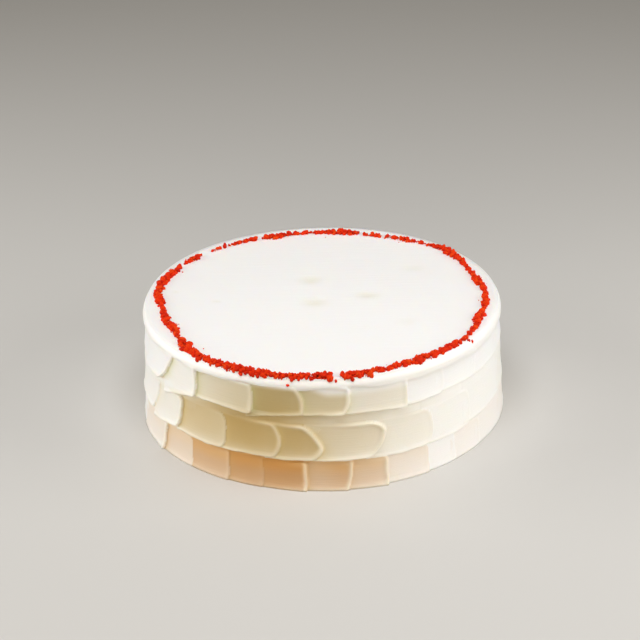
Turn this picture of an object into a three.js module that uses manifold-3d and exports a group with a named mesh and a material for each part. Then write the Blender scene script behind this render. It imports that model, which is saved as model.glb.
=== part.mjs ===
// A round layer cake under cream cheese frosting. Its side is laid with three rows of palette-knife
// strokes, like overlapping scales, and a ring of red crumbs lies on the top, just inside the rim.
// Lengths are in millimetres. Angles are in degrees round the cake, from the front (-Y) to the right (+X).
// The origin is the middle of the flat base, and +Z is up.
import * as THREE from "three";
import { mergeVertices } from "three/addons/utils/BufferGeometryUtils.js";
import Module from "manifold-3d";

// Driving dimensions of the whole cake.
const HEIGHT = 68;
const RIM_RADIUS = 105;
const FOOT_RADIUS = 108;
const RIM_ROUND = 4.5;
const RIM_LIP_HEIGHT = 6.5; // the smoothed top's edge hangs over the side this far down
const RIM_LIP_INSET = 0.4; // its lowest edge lies this far in from the rim
const RIM_LIP_SLOPE = 1.6; // and its underside slopes in over this height
const SLACK = 0.01; // two heights nearer than this are the same
const FROSTING_RELIEF = 1.8; // the strokes' mean thickness over the crumb coat
const ARC_RADIUS = 105; // turns angles into lengths along the side
const ROUND_SEGMENTS = 72;

// Knife strokes. Each one runs left from a thick rounded end, and its thin tail lies under the next one.
const TAIL_OVERLAP = 1.2; // past the start of the neighbour's round end
const EDGE_STEP = 16;
const TAIL_THICKNESS = 0.7;
const UNDERCOAT = 0.5;
const EDGE_LIP = 0.4;
const FLARE = 0.65; // how far a seen stroke's lower edge turns out
const UNSEEN_FLARE = 0.35;
const LIP_INSET = 0.45;
const FACE_INSET = 1.9;
const FOOT_OUTSET = 0.6;
const BURIED = 1.2;
const SQUARE_BELOW = 4; // ends with a shorter round than this are nearly square
const POINTED_FROM = 10; // and ends with this round or more are nearly pointed
const SQUARE_POWER = 0.5; // the powers of sine and cosine that draw a square, a round and a pointed end
const ROUND_POWER = 0.9;
const POINTED_POWER = 1.29;
const LEAST_ROUND = 0.8;

// The stretches laid nearly smooth. Each one begins, is smoothest from and to, and ends at these angles.
const CALM_STRETCHES = [
  [25, 50, 90, 125],
  [235, 265, 284, 300],
];
const CALM_THICKNESS = 1.15;
const CALM_LIP = 0.08;
const CALM_FLARE = 0.04;

// The rim's edge hangs lower at the right. It falls from one angle to another by so much, twice, and has
// risen again between the last two angles.
const RIM_DROPS = [
  [8, 15, 1.2],
  [27, 35, 1.1],
];
const RIM_DROP_END = [80, 130];

// Each seen stroke: the angle of its right-hand end, the length of the end's round, the height of its
// tip from -1 (low) to 1 (high), its slant, the thickness at its end, the height of the end's lip, and,
// where they aren't 0, how far its lower edge dips at the tail or, below 0, at the end, and how far that
// edge lies above the row's.
const ROWS = [
  {
    low: -1.6,
    high: 18.2,
    wander: 0.5,
    unseen: 16,
    seen: [
      { end: -57.8, round: 2.5, tip: 0.3, slant: -1.5, thick: 2, lip: 0.6 },
      { end: -44.4, round: 2, tip: 0, slant: 0.4, thick: 1.3, lip: 0.05 },
      { end: -30, round: 1.6, tip: 0.1, slant: 0, thick: 1.6, lip: 0.15 },
      { end: -18.6, round: 1.6, tip: 0, slant: 0.2, thick: 1.35, lip: 0.05 },
      { end: -5.1, round: 1.8, tip: -0.2, slant: 0.2, thick: 2, lip: 0.8 },
      { end: 8.3, round: 3, tip: -0.1, slant: -1.6, thick: 1.8, lip: 0.85 },
      { end: 19.7, round: 2, tip: 0, slant: 0.1, thick: 1.9, lip: 0.9 },
      { end: 33.9, round: 2.2, tip: 0, slant: 0.3, thick: 1.3, lip: 0.15 },
      { end: 45, round: 3, tip: 0, slant: 0.3, thick: 1.15, lip: 0.05 },
    ],
  },
  {
    low: 19,
    high: 40.6,
    wander: 0.9,
    unseen: 11,
    seen: [
      { end: -64, round: 5, tip: 0.1, slant: -5, thick: 1.5, lip: 0.3 },
      { end: -49, round: 4, tip: 0.2, slant: -1.2, thick: 2.3, lip: 0.6, dip: 6, above: 2.6 },
      { end: -31, round: 5, tip: 0, slant: 0, thick: 1.5, lip: 0.1 },
      { end: -13, round: 9, tip: -0.1, slant: 0, thick: 1.9, lip: 0.6 },
      { end: -0.2, round: 10, tip: -0.29, slant: 3, thick: 2.1, lip: 1, above: -0.6 },
      { end: 19.3, round: 11, tip: 0.42, slant: 0, thick: 2.1, lip: 1.3, above: -1.2 },
      { end: 36, round: 7, tip: 0, slant: 0.3, thick: 1.3, lip: 0.15, above: -1.8 },
      { end: 53, round: 6, tip: 0, slant: 0.2, thick: 1.15, lip: 0.05, above: -2.2 },
    ],
  },
  {
    low: 45.6,
    high: 63.6,
    wander: 0.8,
    unseen: 12,
    seen: [
      { end: -57.4, round: 3, tip: -0.3, slant: -8, thick: 2.1, lip: 0.6, dip: 3.5, above: -2.3 },
      { end: -42.4, round: 2.5, tip: 0, slant: 0.4, thick: 2.4, lip: 0.5, dip: 9, above: 0.5 },
      { end: -21.9, round: 3.5, tip: 0.2, slant: 0.2, thick: 2.2, lip: 0.4, dip: -0.9, above: -0.7 },
      { end: -5.7, round: 7, tip: -0.82, slant: 0.3, thick: 1.9, lip: 0.7, dip: 4.6, above: 0.2 },
      { end: 8.3, round: 5, tip: 0.3, slant: -0.8, thick: 2, lip: 1.1, dip: -0.9, above: 0.7 },
      { end: 26.8, round: 2.5, tip: 0, slant: 0, thick: 1.9, lip: 0.5, dip: -1.2 },
      { end: 41, round: 5, tip: 0.1, slant: 0.5, thick: 1.2, lip: 0.08 },
      { end: 57, round: 4, tip: 0.1, slant: 0, thick: 1.15, lip: 0.05 },
    ],
  },
];

// The strokes at the back don't show. They are drawn between these limits.
const DRAWN = {
  wander: [-0.2, 0.2], // of the end, in shares of the mean gap between two ends
  round: [2, 9],
  tip: [-0.4, 0.4],
  slant: [-1, 1],
  thick: [1.4, 2],
  lip: [0.2, 0.6],
};

// Crumbs. The ring wanders in and out, wide in clumps and thin between them. Each turn is an angle, going
// right from the front, the ring's radius there, and half its width.
const RING_TURNS = [
  [0, 101, 3.1],
  [10, 101.3, 2.8],
  [20, 99.8, 1.3],
  [30, 98.9, 2.4],
  [45, 99.5, 1.7],
  [55, 99.9, 0.9],
  [62, 98.5, 0.8],
  [70, 96.3, 2.3],
  [77, 96.2, 0.7],
  [83, 96.9, 1.5],
  [90, 97.2, 0.9],
  [101, 95.3, 2],
  [110, 95.5, 0.5],
  [119, 97.5, 1.4],
  [129, 99.2, 2.5],
  [139, 97.2, 0.3],
  [147, 95.2, 1.5],
  [160, 93, 1.1],
  [173, 92.6, 2.1],
  [182, 93.4, 0.9],
  [190, 93.2, 0.7],
  [196, 92.4, 2],
  [203, 93.8, 0.6],
  [210, 95, 1.2],
  [219, 95.8, 0.2],
  [232, 96.6, 1.5],
  [239, 97, 0.3],
  [247, 97.5, 1.7],
  [262, 97.9, 1.8],
  [271, 94.8, 2.3],
  [277, 93.4, 0.7],
  [285, 93.4, 1.8],
  [295, 93.4, 1.8],
  [302, 95.6, 1.2],
  [309, 98.4, 3.5],
  [318, 100.8, 2.5],
  [328, 100.8, 2.2],
  [340, 101.1, 3.2],
  [349, 101.4, 1.6],
  [354, 101.2, 2.5],
  [360, 101, 3.1],
];
const RING_GAPS = [
  { at: 4.3, half: 1.8 },
  { at: 154.8, half: 0.8 },
  { at: 164, half: 1.3 },
  { at: 203.8, half: 1.2 },
  { at: 226.5, half: 2.4 },
  { at: 239.5, half: 1.2 },
  { at: 319, half: 0.5 },
];
const CRUMB_COUNT = 124;
const CRUMB_RADIUS = 1.4; // of the smallest crumb; the largest has CRUMB_SPREAD more
const CRUMB_SPREAD = 1;
const LARGE_CRUMB_RADIUS = 1.75; // from this size on, a crumb has more corners
const THIN_WIDTH = 0.6; // the half widths at which the ring is at its thinnest and its fullest
const FULL_WIDTH = 2.4;
const THIN_SIZE = 0.6; // crumbs are this much smaller where the ring is thin
const CRUMB_ROUGHNESS = 0.36;
const CRUMB_RISE = 0.3; // how far a crumb's middle stands over the frosting, in its own radii
const FALLEN_CRUMBS = [
  { angle: -10.6, radius: 104.9, size: 1 },
  { angle: 3.9, radius: 103.8, size: 0.9 },
  { angle: 54, radius: 102.6, size: 1.2 },
  { angle: 55, radius: 103.8, size: 0.9 },
];

const FROSTING_COLOUR = 0xf1ead8;

const wasm = await Module();
wasm.setup();

// A repeatable draw from 0 to 1 for two whole numbers.
function draw(a, b) {
  const wave = Math.sin(a * 127.1 + b * 311.7) * 43758.5453;
  return wave - Math.floor(wave);
}

// The hand-laid frosting swells and sinks a little round the cake.
function swell(degrees) {
  const a = THREE.MathUtils.degToRad(degrees);
  return 0.35 * Math.sin(2 * a + 4.2) + 0.25 * Math.sin(3 * a + 2.3) + 0.2 * Math.sin(5 * a + 0.4);
}

// The side's radius under the strokes, from the wide foot to the rim.
function crumbCoatRadius(height) {
  const foot = FOOT_RADIUS - FROSTING_RELIEF;
  const neck = RIM_RADIUS - FROSTING_RELIEF;
  return THREE.MathUtils.lerp(foot, neck, height / (HEIGHT - RIM_LIP_HEIGHT));
}

// The top's height at a radius: flat, and rounded over at the rim.
function topHeight(radius) {
  const over = Math.max(0, radius - (RIM_RADIUS - RIM_ROUND));
  return HEIGHT - RIM_ROUND + Math.sqrt(Math.max(0, RIM_ROUND ** 2 - over ** 2));
}

function pointAt(degrees, height, radius) {
  const a = THREE.MathUtils.degToRad(degrees);
  return new THREE.Vector3(radius * Math.sin(a), -radius * Math.cos(a), height);
}

// Turns a closed geometry into a manifold solid, whichever way round its faces point.
function solidOf(geometry) {
  const bare = geometry.clone();
  bare.deleteAttribute("normal");
  bare.deleteAttribute("uv");
  const merged = mergeVertices(bare, 1e-4);
  const triVerts = new Uint32Array(merged.index.array);
  const vertProperties = merged.attributes.position.array;
  const solid = new wasm.Manifold(new wasm.Mesh({ numProp: 3, vertProperties, triVerts }));
  if (solid.volume() > 0) return solid;
  for (let i = 0; i < triVerts.length; i += 3) {
    [triVerts[i + 1], triVerts[i + 2]] = [triVerts[i + 2], triVerts[i + 1]];
  }
  return new wasm.Manifold(new wasm.Mesh({ numProp: 3, vertProperties, triVerts }));
}

// A closed skin over rings of points that run from a patch's lower left corner, round its right-hand
// tip, to its upper left corner. The first and the last ring are closed by strips from low to high.
function patchGeometry(rings) {
  const count = rings[0].length;
  const tip = (count - 1) / 2;
  const positions = rings.flat().flatMap((p) => [p.x, p.y, p.z]);
  const index = [];
  for (let k = 0; k + 1 < rings.length; k++) {
    for (let i = 0; i < count; i++) {
      const j = (i + 1) % count;
      const [a, b, c, d] = [k * count + i, k * count + j, (k + 1) * count + j, (k + 1) * count + i];
      index.push(a, b, c, a, c, d);
    }
  }
  const cap = (start, turned) => {
    for (let i = 0; i < tip; i++) {
      const [a, b, c, d] = [start + i, start + i + 1, start + count - 2 - i, start + count - 1 - i];
      const faces = b === c ? [[a, b, d]] : [[a, b, c], [a, c, d]];
      for (const [p, q, r] of faces) index.push(...(turned ? [p, r, q] : [p, q, r]));
    }
  };
  cap(0, true);
  cap((rings.length - 1) * count, false);
  const geometry = new THREE.BufferGeometry();
  geometry.setAttribute("position", new THREE.Float32BufferAttribute(positions, 3));
  return geometry.setIndex(index);
}

// How smoothly the side is laid at an angle: 1 where it is nearly plain, and 0 where its strokes are bold.
function calmness(degrees) {
  const { euclideanModulo, smoothstep } = THREE.MathUtils;
  const angle = euclideanModulo(degrees, 360);
  const shares = CALM_STRETCHES.map(
    ([begin, from, to, end]) => smoothstep(angle, begin, from) * (1 - smoothstep(angle, to, end)),
  );
  return Math.max(...shares);
}

// How much further the rim's edge hangs down at the right than elsewhere.
function rimDrop(degrees) {
  const { euclideanModulo, smoothstep } = THREE.MathUtils;
  const turned = euclideanModulo(degrees + 180, 360) - 180;
  const drop = RIM_DROPS.reduce((sum, [from, to, fall]) => sum + fall * smoothstep(turned, from, to), 0);
  return drop * (1 - smoothstep(turned, ...RIM_DROP_END));
}

// Lists one row's strokes: the seen ones as stated, and the rest spaced evenly with a seeded wander.
function rowStrokes(row, rowNumber) {
  const { lerp } = THREE.MathUtils;
  const { seen, unseen } = row;
  const gap = (360 + seen[0].end - seen.at(-1).end) / (unseen + 1);
  const drawn = Array.from({ length: unseen }, (_, i) => {
    const between = ([least, most], n, power = 1) =>
      lerp(least, most, draw(i + 1, rowNumber * 7 + n) ** power);
    const end = seen.at(-1).end + gap * (i + 1 + between(DRAWN.wander, 1));
    return {
      end,
      round: between(DRAWN.round, 2, 2),
      tip: between(DRAWN.tip, 3),
      slant: between(DRAWN.slant, 4),
      thick: lerp(between(DRAWN.thick, 5), CALM_THICKNESS, calmness(end)),
      lip: lerp(between(DRAWN.lip, 6), CALM_LIP, calmness(end)),
    };
  });
  const all = [...seen, ...drawn];
  return all.map((stroke, i) => {
    const left = i ? all[i - 1] : { ...all.at(-1), end: all.at(-1).end - 360 };
    const wander = (n) => row.wander * 2 * (draw(i + 40, rowNumber * 5 + n) - 0.5);
    const calm = calmness(stroke.end);
    return {
      dip: 0,
      ...stroke,
      length: THREE.MathUtils.degToRad(stroke.end - left.end) * ARC_RADIUS + left.round + TAIL_OVERLAP,
      low: row.low + wander(1) + (stroke.above ?? 0),
      high: row.high + wander(2),
      flare: lerp(i < seen.length ? FLARE : UNSEEN_FLARE, CALM_FLARE, calm),
      edgeLip: lerp(EDGE_LIP, CALM_LIP, calm),
    };
  });
}

// One stroke as a solid laid on the side: a raised lip round a face that thins towards the tail and turns
// out at its lower edge.
function strokeSolid(stroke) {
  const middle = (stroke.low + stroke.high) / 2;
  const half = (stroke.high - stroke.low) / 2;
  const edgeSteps = Math.max(2, Math.round(stroke.length / EDGE_STEP));
  const roundSteps = stroke.round > 5 ? 3 : 2;
  const roundPower = stroke.round < POINTED_FROM ? ROUND_POWER : POINTED_POWER;
  const power = stroke.round < SQUARE_BELOW ? SQUARE_POWER : roundPower;
  // The outline, moved inwards: how far back from the tip and how high each of its points is, and how
  // near the lower edge, from 0 to 1.
  const outline = (inset) => {
    const round = Math.max(LEAST_ROUND, stroke.round - inset);
    const reach = half - inset;
    const edge = [];
    for (let i = 0; i < edgeSteps; i++) {
      edge.push([THREE.MathUtils.lerp(stroke.length - inset, inset + round, i / edgeSteps), 1]);
    }
    for (let i = 0; i <= roundSteps; i++) {
      const a = (i / roundSteps) * (Math.PI / 2);
      const up = i < roundSteps ? Math.cos(a) ** power : 0;
      edge.push([inset + round * (1 - Math.sin(a) ** power), up]);
    }
    const at = ([back, share], side) => {
      const gone = THREE.MathUtils.clamp(back / stroke.length, 0, 1);
      const bend = stroke.tip * half * Math.max(0, 1 - (back - inset) / round) ** 2;
      const nearLow = side < 0 ? share : 0;
      const dip = stroke.dip > 0 ? stroke.dip * gone : -stroke.dip * (1 - gone);
      const height = middle + bend + side * share * reach - nearLow * dip;
      return { back: back + stroke.slant * side * share, height, nearLow };
    };
    const lower = edge.map((p) => at(p, -1));
    const upper = edge.slice(0, -1).map((p) => at(p, 1));
    return [...lower, ...upper.reverse()];
  };
  const ring = (inset, lift) =>
    outline(inset).map(({ back, height, nearLow }) => {
      const share = THREE.MathUtils.clamp(1 - back / stroke.length, 0, 1);
      const face = THREE.MathUtils.lerp(TAIL_THICKNESS, stroke.thick, share ** 1.4);
      const lip = THREE.MathUtils.lerp(stroke.edgeLip * nearLow, stroke.lip, share ** 4);
      const degrees = stroke.end - THREE.MathUtils.radToDeg(back / ARC_RADIUS);
      const radius = crumbCoatRadius(height) + swell(degrees) + lift(face, lip, stroke.flare * nearLow);
      return pointAt(degrees, height, radius);
    });
  return solidOf(
    patchGeometry([
      ring(-FOOT_OUTSET, () => -BURIED),
      ring(LIP_INSET, (face, lip, flare) => face + lip + flare),
      ring(FACE_INSET, (face, lip, flare) => face + flare / 2),
    ]),
  );
}

// The sponge and its crumb coat as one body of revolution, with the smoothed top and its rim.
function coreSolid() {
  const neck = HEIGHT - RIM_LIP_HEIGHT;
  const profile = [
    new THREE.Vector2(0, 0),
    new THREE.Vector2(crumbCoatRadius(0) + UNDERCOAT, 0),
    new THREE.Vector2(crumbCoatRadius(neck - RIM_LIP_SLOPE) + UNDERCOAT, neck - RIM_LIP_SLOPE),
    new THREE.Vector2(RIM_RADIUS - RIM_LIP_INSET, neck),
  ];
  for (const angle of [0.15, 0.5, 1, Math.PI / 2]) {
    const radius = RIM_RADIUS - RIM_ROUND * (1 - Math.cos(angle));
    profile.push(new THREE.Vector2(radius, HEIGHT - RIM_ROUND * (1 - Math.sin(angle))));
  }
  profile.push(new THREE.Vector2(0, HEIGHT));
  const lathe = new THREE.LatheGeometry(profile, ROUND_SEGMENTS).rotateX(Math.PI / 2);
  const position = lathe.attributes.position;
  for (let i = 0; i < position.count; i++) {
    const [x, y] = [position.getX(i), position.getY(i)];
    const radius = Math.hypot(x, y);
    if (radius < 1) continue;
    const degrees = THREE.MathUtils.radToDeg(Math.atan2(x, -y));
    const grown = 1 + swell(degrees) / radius;
    const height = position.getZ(i);
    const onEdge = Math.abs(height - neck) < RIM_LIP_SLOPE + SLACK;
    position.setXYZ(i, x * grown, y * grown, height - (onEdge ? rimDrop(degrees) : 0));
  }
  return solidOf(lathe);
}

// The crumb ring's radius and half width at an angle, eased from turn to turn.
function ringAt(degrees) {
  const angle = THREE.MathUtils.euclideanModulo(degrees, 360);
  const next = Math.max(1, RING_TURNS.findIndex(([at]) => at >= angle));
  const [start, end] = RING_TURNS.slice(next - 1, next + 1);
  const share = THREE.MathUtils.smoothstep(angle, start[0], end[0]);
  const eased = (column) => THREE.MathUtils.lerp(start[column], end[column], share);
  return { middle: eased(1), halfWidth: eased(2) };
}

// One crumb: a lump with knocked-in corners.
function crumbSolid(seed, centre, radius) {
  const Lump = radius < LARGE_CRUMB_RADIUS ? THREE.OctahedronGeometry : THREE.IcosahedronGeometry;
  const lump = new Lump(1, 0);
  lump.deleteAttribute("normal");
  lump.deleteAttribute("uv");
  const merged = mergeVertices(lump, 1e-4);
  const position = merged.attributes.position;
  for (let i = 0; i < position.count; i++) {
    const corner = new THREE.Vector3().fromBufferAttribute(position, i);
    corner.multiplyScalar(radius * (1 + CRUMB_ROUGHNESS * (2 * draw(seed, i + 50) - 1)));
    position.setXYZ(i, corner.x, corner.y, corner.z);
  }
  const turn = new THREE.Euler(...[3, 4, 5].map((n) => 2 * Math.PI * draw(seed, n)));
  merged.applyMatrix4(new THREE.Matrix4().makeRotationFromEuler(turn));
  return solidOf(merged.translate(centre.x, centre.y, centre.z));
}

// Where the middle of a crumb lies that has sunk into the top.
function crumbCentre(degrees, radius, size) {
  return pointAt(degrees, topHeight(radius) + CRUMB_RISE * size, radius);
}

// The crumbs of the ring, thrown in a wandering band that is left bare at the gaps, and the fallen ones.
function ringCrumbs() {
  const crumbs = [];
  for (let i = 0; i < CRUMB_COUNT; i++) {
    const degrees = ((i + 0.6 * (draw(i, 1) - 0.5)) * 360) / CRUMB_COUNT;
    const bare = RING_GAPS.some(({ at, half }) => Math.abs(degrees - at) < half);
    if (bare) continue;
    const { middle, halfWidth } = ringAt(degrees);
    const radius = middle + halfWidth * (i % 2 ? 1 : -1) * (0.25 + 0.75 * draw(i, 2));
    const fullness = THREE.MathUtils.clamp((halfWidth - THIN_WIDTH) / (FULL_WIDTH - THIN_WIDTH), 0, 1);
    const shrink = THREE.MathUtils.lerp(THIN_SIZE, 1, fullness);
    const size = (CRUMB_RADIUS + CRUMB_SPREAD * draw(i, 6) ** 2) * shrink;
    crumbs.push(crumbSolid(i, crumbCentre(degrees, radius, size), size));
  }
  const fallen = FALLEN_CRUMBS.map(({ angle, radius, size }, i) =>
    crumbSolid(CRUMB_COUNT + i, crumbCentre(angle, radius, size), size),
  );
  return [...crumbs, ...fallen];
}

// Fuses everything into one body that stands on its flat base. Scraps and sealed hollows are dropped.
function cakeSolid() {
  const strokes = ROWS.flatMap((row, i) => rowStrokes(row, i).map(strokeSolid));
  const fused = wasm.Manifold.union([coreSolid(), ...strokes, ...ringCrumbs()]);
  const bodies = fused.trimByPlane([0, 0, 1], 0).decompose();
  return bodies.sort((a, b) => b.volume() - a.volume())[0];
}

function geometryOf(solid) {
  const { vertProperties, triVerts, numProp } = solid.getMesh();
  const positions = new Float32Array((vertProperties.length / numProp) * 3);
  for (let i = 0; i < positions.length / 3; i++) {
    positions.set(vertProperties.subarray(i * numProp, i * numProp + 3), i * 3);
  }
  const geometry = new THREE.BufferGeometry();
  geometry.setAttribute("position", new THREE.BufferAttribute(positions, 3));
  geometry.setIndex(new THREE.BufferAttribute(new Uint32Array(triVerts), 1));
  geometry.computeVertexNormals();
  return geometry;
}

const frosting = new THREE.MeshStandardMaterial({ color: FROSTING_COLOUR, roughness: 0.5, metalness: 0 });
const cake = new THREE.Mesh(geometryOf(cakeSolid()), frosting);
cake.name = "frosted_cake";

const part = new THREE.Group();
part.add(cake);

export default part;
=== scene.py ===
import bmesh
import bpy
import numpy as np
from mathutils import Matrix, Vector


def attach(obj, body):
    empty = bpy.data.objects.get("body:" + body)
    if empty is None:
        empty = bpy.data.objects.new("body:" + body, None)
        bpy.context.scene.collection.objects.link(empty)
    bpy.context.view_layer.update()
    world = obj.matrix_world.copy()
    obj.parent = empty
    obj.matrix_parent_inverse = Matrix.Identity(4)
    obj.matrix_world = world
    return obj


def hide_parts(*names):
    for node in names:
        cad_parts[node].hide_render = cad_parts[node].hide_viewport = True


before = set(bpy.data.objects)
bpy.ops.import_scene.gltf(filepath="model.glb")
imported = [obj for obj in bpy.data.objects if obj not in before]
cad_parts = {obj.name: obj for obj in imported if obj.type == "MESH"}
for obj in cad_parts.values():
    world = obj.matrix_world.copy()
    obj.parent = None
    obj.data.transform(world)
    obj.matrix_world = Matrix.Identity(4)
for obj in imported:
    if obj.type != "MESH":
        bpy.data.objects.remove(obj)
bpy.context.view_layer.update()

# The frosting: cream cheese and butter over an uncut cake. Each palette-knife stroke starts as a thick
# rounded end on its right and is dragged left to a thin tail, which the next stroke's end then covers.
# Three rows are laid round the side, from the foot up, and the top is smoothed last, out over the rim.
MM = 0.001
HEIGHT = 68
RIM_RADIUS = 105
FOOT_RADIUS = 108
FROSTING_RELIEF = 1.8
UNDERCOAT = 0.5
COLUMNS = 1024

# Waves round the cake, each with its count in a full turn, its height and its start: those of the whole
# side, and those of the edge of the rim.
SWELL_WAVES = [(2, 0.35, 4.2), (3, 0.25, 2.3), (5, 0.2, 0.4)]
HANG_WAVES = [(11, 0.5, 0), (29, 0.3, 2)]

# Stretches of the side, each with the angles where it starts, is full, starts to end and is over: the right
# and the far left, which are laid so calmly that they are nearly plain, and the one whose top is white
# further down than elsewhere.
CALM_STRETCHES = [(25, 50, 90, 125), (235, 265, 284, 300)]
WHITE_STRETCH = (-6, 2, 50, 80)

# The rim rounds over from the top, and its edge hangs over the strokes, further down at the right. The edge
# comes out of the side between two heights over its line, which are further apart where the side is calm.
# The softness rounds the crease between the edge and the strokes, and the rim has its own colour from where
# it stands out over them.
RIM_ROUND = 4.5
RIM_LOOPS = 10
RIM_LIP_HEIGHT = 6.5
RIM_DROPS = [(8, 15, 1.2), (27, 35, 1.1)]
RIM_DROP_END = (80, 130)
LIP_BLEND = (-1.2, 1.6)
CALM_LIP_BLEND = (-3, 2.8)
RIM_SOFTNESS = 0.06
CALM_RIM_SOFTNESS = 2
ON_RIM = (-0.7, 0.5)

# The rows of strokes, from the foot up. A row's strokes lie from low to high, and each one's edges are
# shifted from there by up to its wander. A strip of their frosting is smeared on up to cover, where the next
# row's lower edge hides it. Its crest is the share of the lip that is left along the upper edge, its fade is
# how much paler the painted shade gets at the lower edge, its tones are the painted shade's share of the
# stated depth at low and at high, and unseen is how many more strokes go round the back.
# Each seen stroke: its end's angle, the end's round, its tip's height from -1 to 1, its slant, its
# thickness, the end lip's height, how far it tilts out at its lower edge, how far that edge dips at the tail
# (or, below 0, at the end), how far it lies above the row's, the depth of the warm shade painted on it,
# deepest on the front, and, where that isn't even, how much deeper it is at the end than at the tail.
STROKE_PARTS = ("end", "round", "tip", "slant", "thick", "lip", "tilt", "dip", "above", "depth", "lean")
STROKE_ROWS = [
    {
        "low": -1.6,
        "high": 18.2,
        "cover": 21,
        "crest": 0.25,
        "fade": 0.22,
        "tones": (1, 1),
        "wander": 0.5,
        "unseen": 16,
        "seen": [
            (-57.8, 2.5, 0.3, -1.5, 2, 0.6, 0.1, 0, 0, 0.17),
            (-44.4, 2, 0, 0.4, 1.3, 0.05, 0.1, 0, 0, 0.37),
            (-30, 1.6, 0.1, 0, 1.6, 0.15, 0.2, 0, 0, 0.75),
            (-18.6, 1.6, 0, 0.2, 1.35, 0.05, 0.1, 0, 0, 0.95),
            (-5.1, 1.8, -0.2, 0.2, 2, 0.8, 0.0, 0, 0, 1.0),
            (8.3, 3, -0.1, -1.6, 1.8, 0.85, 0.2, 0, 0, 0.67, 0.34),
            (19.7, 2, 0, 0.1, 1.9, 0.9, 0.3, 0, 0, 0.5),
            (33.9, 2.2, 0, 0.3, 1.3, 0.15, 0, 0, 0, 0.15),
            (45, 3, 0, 0.3, 1.15, 0.05, -0.13, 0, 0, 0.0),
        ],
    },
    {
        "low": 19,
        "high": 40.6,
        "cover": 47,
        "crest": 1,
        "fade": 0.3,
        "tones": (0.9, 1.1),
        "wander": 0.9,
        "unseen": 11,
        "seen": [
            (-64, 5, 0.1, -5, 1.5, 0.3, 0.2, 0, 0, 0.05),
            (-49, 4, 0.2, -1.2, 2.3, 0.6, 0.2, 6, 2.6, 0.12),
            (-31, 5, 0, 0, 1.5, 0.1, 0.3, 0, 0, 0.7),
            (-13, 9, -0.1, 0, 1.9, 0.6, 0.2, 0, 0, 1.0),
            (-0.2, 10, -0.29, 3, 2.1, 1, 0.0, 0, -0.6, 0.95),
            (19.3, 11, 0.42, 0, 2.1, 1.3, 0.3, 0, -1.2, 0.42, -0.12),
            (36, 7, 0, 0.3, 1.3, 0.15, 0, 0, -1.8, 0.16),
            (53, 6, 0, 0.2, 1.15, 0.05, -0.13, 0, -2.2, 0.04),
        ],
    },
    {
        "low": 45.6,
        "high": 63.6,
        "cover": 64.5,
        "crest": 1,
        "fade": 0,
        "tones": (1.02, 0.92),
        "wander": 0.8,
        "unseen": 12,
        "seen": [
            (-57.4, 3, -0.3, -8, 2.1, 0.6, 0.2, 3.5, -2.3, 0.02),
            (-42.4, 2.5, 0, 0.4, 2.4, 0.5, 0.1, 9, 0.5, 0.1),
            (-21.9, 3.5, 0.2, 0.2, 2.2, 0.4, 0.3, -0.9, -0.7, 0.49, 0.28),
            (-5.7, 7, -0.82, 0.3, 1.9, 0.7, -0.5, 4.6, 0.2, 1.0),
            (8.3, 5, 0.3, -0.8, 2, 1.1, 0.1, -0.9, 0.7, 0.64),
            (26.8, 2.5, 0, 0, 1.9, 0.5, 0.1, -1.2, 0, 0.27),
            (41, 5, 0.1, 0.5, 1.2, 0.08, -0.05, 0, 0, 0.04),
            (57, 4, 0.1, 0, 1.15, 0.05, -0.13, 0, 0, 0.02),
        ],
    },
]
ROW_BORDERS = (18.6, 45.2)
ROW_HEIGHT = 21

# The strokes round the back: each value is drawn between two, and goes to the calm one on a calm stretch.
UNSEEN_WANDER = 0.4
UNSEEN_ROUND = (2, 9)
UNSEEN_TIP = (-0.4, 0.4)
UNSEEN_SLANT = (-1, 1)
UNSEEN_THICKNESS = (1.4, 2)
UNSEEN_LIP = (0.2, 0.6)
UNSEEN_TILT = (-0.1, 0.3)
UNSEEN_SHADE_DEPTH = 0.08
CALM_THICKNESS = 1.15
CALM_LIP = 0.08
CALM_TILT = -0.13

# A stroke's outline. Its edges and its end waver, each wave with its pitch, its height and how many times
# the stroke's own phase it starts at, which is drawn from about a turn. The end is bowed as a rounded square,
# whose power falls from a square end to a pointed one, and the round decides which of the three an end is.
ARC_RADIUS = 105
TAIL_OVERLAP = 1.2
PHASES = 6.3
LOWER_EDGE_WAVES = [(5.5, 0.24, 1), (2.1, 0.12, 2)]
UPPER_EDGE_WAVES = [(4.3, 0.25, 3)]
END_WAVES = [(1.9, 0.15, 1)]
SQUARE_END = 4
ROUND_END = 2.2
POINTED_END = 1.55
ROUND_FROM = 4
POINTED_FROM = 10
STEEPEST_END = 4
NEAREST_EDGE = 0.999
CORNER_SOFTNESS = 0.5

# A stroke's face: a sheet of frosting with a wall at its outline, outside which it is buried. The strip over
# it starts a little behind the end and a little under the upper edge.
TAIL_THICKNESS = 0.7
THINNING = 1.4
HOLLOW = 0.5
EVERY_TILT = 0.15
FLARE = 0.65
UNSEEN_FLARE = 0.35
CALM_FLARE = 0.04
FLARE_FOOT = 0.6
FLARE_HEIGHT = 2.6
BURIED = 1.2
WALL = (-0.5, 0.8)
STRIP_START = 1
STRIP_LENGTH = 14
CALM_STRIP_LENGTH = 6
STRIP_SUNK = 0.1
STRIP_UNDER = 1
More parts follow.
